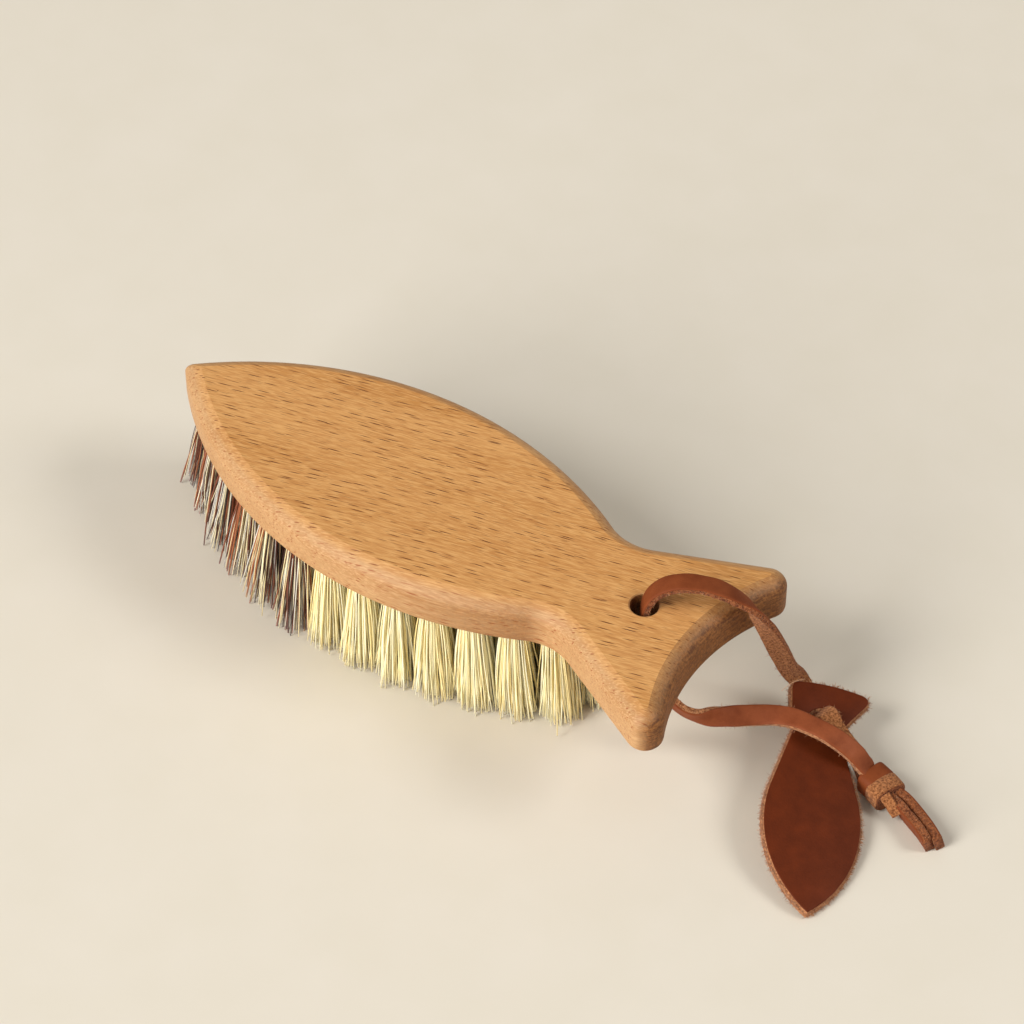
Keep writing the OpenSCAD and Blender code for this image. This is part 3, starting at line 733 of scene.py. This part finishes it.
tag_loop = tag_outline()
tag_hole = circle((TAG_L - TAG_HOLE_INSET, 0), TAG_HOLE_D / 2, 40)
tag_points, tag_faces, tag_kinds = plate([tag_loop, tag_hole], TAG_RINGS, TAG_FACE_FROM)
tag = new_piece("leather_tag_fish", tag_place(tag_points), tag_faces, [TAG_GRAIN, TAG_SUEDE], tag_kinds)

# Board. BELLY_RUN is the way from the nose's end to the middle of the belly.
SIDE_DROP = SIDE_R - BELLY_W / 2
BELLY_RUN = NOSE_R + math.sqrt((SIDE_R - NOSE_R) ** 2 - SIDE_DROP**2)
HANG_SIDES, TUFT_HOLE_SIDES = 48, 24
# Rings of the hanging hole and of a tuft's hole: radius and height
HANG_RINGS = (
    (HANG_D / 2 + HANG_BEVEL, BRISTLE_L),
    (HANG_D / 2, BRISTLE_L + HANG_BEVEL),
    (HANG_D / 2, TOP_Z - HANG_BEVEL),
    (HANG_D / 2 + 0.3 * HANG_BEVEL, TOP_Z - 0.3 * HANG_BEVEL),
    (HANG_D / 2 + HANG_BEVEL, TOP_Z),
)
TUFT_HOLE_RINGS = (
    (TUFT_HOLE_D / 2 + TUFT_HOLE_BEVEL, BRISTLE_L),
    (TUFT_HOLE_D / 2, BRISTLE_L + 0.15),
    (TUFT_HOLE_D / 2, BRISTLE_L + TUFT_DEPTH),
)


def outline(d):
    """The block's outline, moved inwards by d: tangent arcs from the nose to the tail's hollow and back."""

    def angle(p):
        return math.degrees(math.atan2(p[1], p[0]))

    side_c = np.array([BELLY_RUN - BLOCK_L / 2, -SIDE_DROP])
    nose_c = np.array([side_c[0] - math.sqrt((SIDE_R - d - NOSE_R) ** 2 - SIDE_DROP**2), 0])
    tip_c = np.array([BLOCK_L / 2 - TIP_R, TAIL_W / 2 - TIP_R])
    hollow_x = BLOCK_L / 2 - HOLLOW
    a = hollow_x - tip_c[0]
    hollow_r = (a**2 + tip_c[1] ** 2 - TIP_R**2) / (2 * (TIP_R - a))
    hollow_c = np.array([hollow_x + hollow_r, 0])

    # The neck's arc touches the side's arc and the straight flank of the tail
    flare = math.radians(FLARE)
    flank_n = np.array([-math.sin(flare), math.cos(flare)])
    flank_u = -np.array([math.cos(flare), math.sin(flare)])
    v = tip_c + (TIP_R + NECK_R) * flank_n - side_c
    run = -v @ flank_u - math.sqrt((v @ flank_u) ** 2 - v @ v + (SIDE_R + NECK_R) ** 2)
    neck_c = side_c + v + run * flank_u

    nose_end, side_end, flank_a = angle(nose_c - side_c), angle(neck_c - side_c), angle(flank_n)
    half = [
        arc(nose_c, NOSE_R, 180, nose_end, 8),
        arc(side_c, SIDE_R - d, nose_end, side_end, 90)[1:],
        arc(neck_c, NECK_R + d, side_end - 180, flank_a - 180, 24),
        arc(tip_c, TIP_R - d, flank_a, angle(hollow_c - tip_c), 24),
        arc(hollow_c, hollow_r + d, angle(tip_c - hollow_c), 180, 30)[1:],
    ]
    loop = mirrored(np.vstack(half))
    loop[:, 0] *= np.where(loop[:, 0] < 0, 1 - NOSE_SHORT / (BLOCK_L / 2), 1)
    return loop


def edge_rings():
    """The rings of the board's rounded edges, as inset and height, from the lower face to the back."""
    last = math.radians(CREASE_END)
    low = [(LOW_EDGE_R * (1 - math.sin(a)), LOW_EDGE_R * (1 - math.cos(a))) for a in np.radians([0, 22, 45, 67, 90])]
    top = [
        (TOP_EDGE_R * (1 - math.cos(a)) / (1 - math.cos(last)), TOP_EDGE_R * (1 - math.sin(a) / math.sin(last)))
        for a in np.linspace(0, last, 11)
    ]
    return [(inset, BRISTLE_L + rise) for inset, rise in low] + [(inset, TOP_Z - drop) for inset, drop in top]


def tuft_place(node):
    """The middle of a tuft's hole, in millimetres, from the upper end of its plug."""
    co = np.array([v.co for v in frame["nodes"][node].data.vertices])
    top = co[co[:, 2] > co[:, 2].max() - 0.1 * MM]
    return (top[:, :2].min(0) + top[:, :2].max(0)) / 2 / MM


TUFTS = sorted(n for n in frame["nodes"] if n.startswith("tuft_"))
TUFT_AT = {t: tuft_place(t) for t in TUFTS}


def board_mesh():
    """The lofted block with its hanging hole, and a blind hole for each tuft."""
    points, faces = [], []

    def stack(rings):
        """Adds rings of (places, height) and the walls between them, and returns the first and the last one."""
        made = []
        for places, z in rings:
            made.append((range(len(points), len(points) + len(places)), places))
            points.extend((x, y, z) for x, y in places)
        for (low, _), (high, _) in zip(made, made[1:]):
            faces.extend(wall(low[0], high[0], len(low), flip=True))
        return made[0], made[-1]

    low_ring, top_ring = stack([(outline(d), z) for d, z in edge_rings()])
    hang_low, hang_top = stack([(circle((HANG_X, 0), r, HANG_SIDES), z) for r, z in HANG_RINGS])
    openings = []
    for t in TUFTS:
        opening, end = stack([(circle(TUFT_AT[t], r, TUFT_HOLE_SIDES), z) for r, z in TUFT_HOLE_RINGS])
        faces.append(tuple(end[0])[::-1])
        openings.append(opening)
    faces += filled([low_ring, hang_low, *openings], down=True)
    faces += filled([top_ring, hang_top])
    return np.array(points) * MM, faces


def sharp_edges(piece, degrees):
    """Shades a piece smoothly apart from its sharp edges."""
    bm = bmesh.new()
    bm.from_mesh(piece.data)
    bmesh.ops.recalc_face_normals(bm, faces=bm.faces[:])
    limit = math.radians(degrees)
    for e in bm.edges:
        if len(e.link_faces) == 2 and e.calc_face_angle(0) > limit:
            e.smooth = False
    bm.to_mesh(piece.data)
    bm.free()


board_points, board_faces = board_mesh()
board = new_piece("beech_board", board_points, board_faces, [BEECH])
sharp_edges(board, 13)
sharp_edges(tag, 30)

# Tufts: each is a bundle of fibres that fills its hole and fans out towards the tips. Stray fibres wander further
# and end higher. lean is how far a tuft leans out from NOSE_MIDDLE, tip_spread and bow are how much its tips'
# heights and its fibres' bows differ, and radii are its thinnest and its thickest fibre's, all in millimetres.
# stout thickens the brown fibres, whose tints lie between the two of BROWN.
Bristle = namedtuple("Bristle", "material count stray lean tip_spread bow radii stout")
BRISTLES = {
    "dark_fibre": Bristle(DARK_MIX, 120, 0.2, 1.6, 0.7, 0.55, (0.09, 0.14), 1.8),
    "cream_fibre": Bristle(CREAM, 240, 0.12, 0.0, 0.5, 0.5, (0.11, 0.165), 1.0),
}
BROWN = (0.24, 0.53)
SPLAY, SPLAY_FROM = 0.04, [board_points[:, 0].min() / MM + BELLY_RUN, 0]
NOSE_MIDDLE = [-25, 0]
ROOT_INSET, ROOT_DEPTH = 0.25, 1.5
FAN, FAN_CURVE, TIP_Z, STRAY_RISE = 4.3, 1.2, 0.7, 2.5
WANDER, STRAY_WANDER, WANDER_MOST = 0.55, 1.5, 1.5
FIBRE_RINGS, FIBRE_SIDES = 7, 5
SLOTS = {s["node"]: s["material_slot"] for s in frame["record"]["subparts"]}


def tuft_piece(node, number):
    """The fibres of one tuft."""
    rng = np.random.default_rng(100 + number)
    kind = BRISTLES[SLOTS[node]]
    place, count = TUFT_AT[node], kind.count
    k = np.arange(count)
    golden = math.pi * (3 - math.sqrt(5))
    spread = np.sqrt((k + 0.5) / count)
    a = k * golden + rng.normal(0, 0.25, count)
    disc = np.stack([spread * np.cos(a), spread * np.sin(a)], 1)
    root = place + disc * (TUFT_HOLE_D / 2 - ROOT_INSET)
    stray = rng.random(count) < kind.stray
    wander = np.clip(rng.normal(0, 1, (count, 2)), -WANDER_MOST, WANDER_MOST)
    wander = wander * np.where(stray, STRAY_WANDER, WANDER)[:, None]
    lean = SPLAY * (place - SPLAY_FROM) + unit(place - NOSE_MIDDLE) * kind.lean
    tip = place + lean + disc * FAN + wander
    tip_z = np.maximum(0.0, rng.normal(TIP_Z, kind.tip_spread, count))
    tip_z = tip_z + np.where(stray, rng.uniform(0, STRAY_RISE, count), 0)
    bow = rng.normal(0, kind.bow, (count, 2)) + disc * 0.5
    t = np.linspace(0, 1, FIBRE_RINGS)[None, :, None]
    z = (BRISTLE_L + ROOT_DEPTH) * (1 - t[..., 0]) + tip_z[:, None] * t[..., 0]
    flare = t**FAN_CURVE
    flat = root[:, None] * (1 - flare) + tip[:, None] * flare + bow[:, None] * np.sin(math.pi * t) * 0.6
    paths = np.concatenate([flat, z[..., None]], 2) * MM
    tint = rng.random(count)
    is_brown = (tint > BROWN[0]) & (tint < BROWN[1])
    size = rng.uniform(*kind.radii, count) * np.where(is_brown, kind.stout, 1.0)
    taper = np.linspace(1, 0.8, FIBRE_RINGS)[None]
    piece = tubes(node + "_fibres", paths, size[:, None] * taper * MM, FIBRE_SIDES, kind.material, tint)
    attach(piece, "brush")
    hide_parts(node)


for number, node in enumerate(TUFTS):
    tuft_piece(node, number)


# Loose fibres on the leather's cut edges
def tag_fuzz():
    """Loose fibres round the tag's outline."""
    rng = np.random.default_rng(41)
    pick = rng.uniform(0, len(tag_loop), TAG_HAIRS)
    low = pick.astype(int)
    share = (pick - low)[:, None]
    edge = tag_loop[low] * (1 - share) + tag_loop[(low + 1) % len(tag_loop)] * share
    out = -inward(tag_loop)[low]
    height = rng.uniform(0.1, 1.5, TAG_HAIRS)
    roots = tag_place(np.column_stack([edge + out * 0.1, height]))
    ends = tag_place(np.column_stack([edge + out * 1.2, height + rng.uniform(-0.3, 0.2, TAG_HAIRS)]))
    return fuzz("tag_edge_fuzz", roots, unit(ends - roots), TAG_HAIR_L, TAG_HAIR_R, 42)


def long_fibre():
    """One long loose fibre, which lies over the tail's corner in a low arch."""
    t = np.linspace(0, 1, 24)[:, None]
    a, b, c = np.array([[47.2, 9.4], [49.5, 8.3], [50.8, 6]])
    flat = a * (1 - t) ** 2 + b * 2 * t * (1 - t) + c * t**2
    path = tag_place(np.column_stack([flat, TAG_T + 0.12 + 0.5 * np.sin(t * math.pi)]))
    return tubes("tag_loose_fibre", path[None], np.full((1, 24), 0.05 * MM), 5, HAIR, np.ones(1))


lace_fuzz = [
    strip_fuzz("lace_over_fuzz", over, 31, 7),
    strip_fuzz("lace_under_fuzz", under, 33, 7),
    strip_fuzz("lace_near_fuzz", near_end, 35, 9),
    strip_fuzz("lace_far_fuzz", far_end, 37, 9),
]
tag_edge = tag_fuzz()
tag_fibre = long_fibre()

# The anchor wires' own steel
steel = Material("drawn_steel", 0.35, Metallic=1.0)
steel_grain = steel.noise(steel.coords(), (300, 6000, 6000))
wires = frame["nodes"]["anchor_wires"].data.materials
wires.clear()
wires.append(steel.finish(steel.ramp(steel_grain, (0.3, srgb(120, 120, 122)), (0.7, srgb(168, 168, 170)))))

# What rides on what
strips = [over.piece, under.piece, near_end.piece, far_end.piece, knot_first, knot_second, tongue]
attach(board, "brush")
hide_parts("wooden_block")
for piece in (*strips, tag, tag_fibre, *lace_fuzz, tag_edge):
    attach(piece, "loop")
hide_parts("strap_over")
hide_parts("strap_under")
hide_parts("strap_ends")
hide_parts("strap_ends")
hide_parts("strap_knot")
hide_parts("strap_knot")
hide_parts("leather_tag")

# Floor and light
FLOOR_HALF = 6.0
pale = Material("pale_floor", 0.9, Specular_IOR_Level=0.1)
shade = pale.ramp(pale.noise(pale.coords(), 60, 3.0), (0.3, srgb(219, 210, 193)), (0.7, srgb(221, 212, 196)))
floor_corners = [(x * FLOOR_HALF, y * FLOOR_HALF, 0) for x, y in ((-1, -1), (1, -1), (1, 1), (-1, 1))]
floor = new_piece("floor", floor_corners, [(0, 1, 2, 3)], [pale.finish(shade)])


def soft_light(name, place, target, size, power):
    """A square lamp at a place, turned to its target. Lengths are in metres."""
    lamp = bpy.data.objects.new(name, bpy.data.lights.new(name, "AREA"))
    lamp.data.size = size
    lamp.data.energy = power
    lamp.location = place
    lamp.rotation_euler = (Vector(target) - Vector(place)).to_track_quat("-Z", "Y").to_euler()
    scene.collection.objects.link(lamp)


soft_light("key_light", (-0.8, -1.8, 1.9), (0, 0, 0), size=1.0, power=39)
soft_light("front_light", (-0.5, -2.5, 0.84), (0, 0, 0.02), size=1.4, power=54)
soft_light("fill_light", (1.7, 0.7, 1.6), (0, 0, 0), size=0.9, power=24)
scene.world = bpy.data.worlds.new("studio")
scene.world.use_nodes = True
background = scene.world.node_tree.nodes["Background"].inputs
background["Color"].default_value = (1, 0.985, 0.96, 1)
background["Strength"].default_value = 0.3
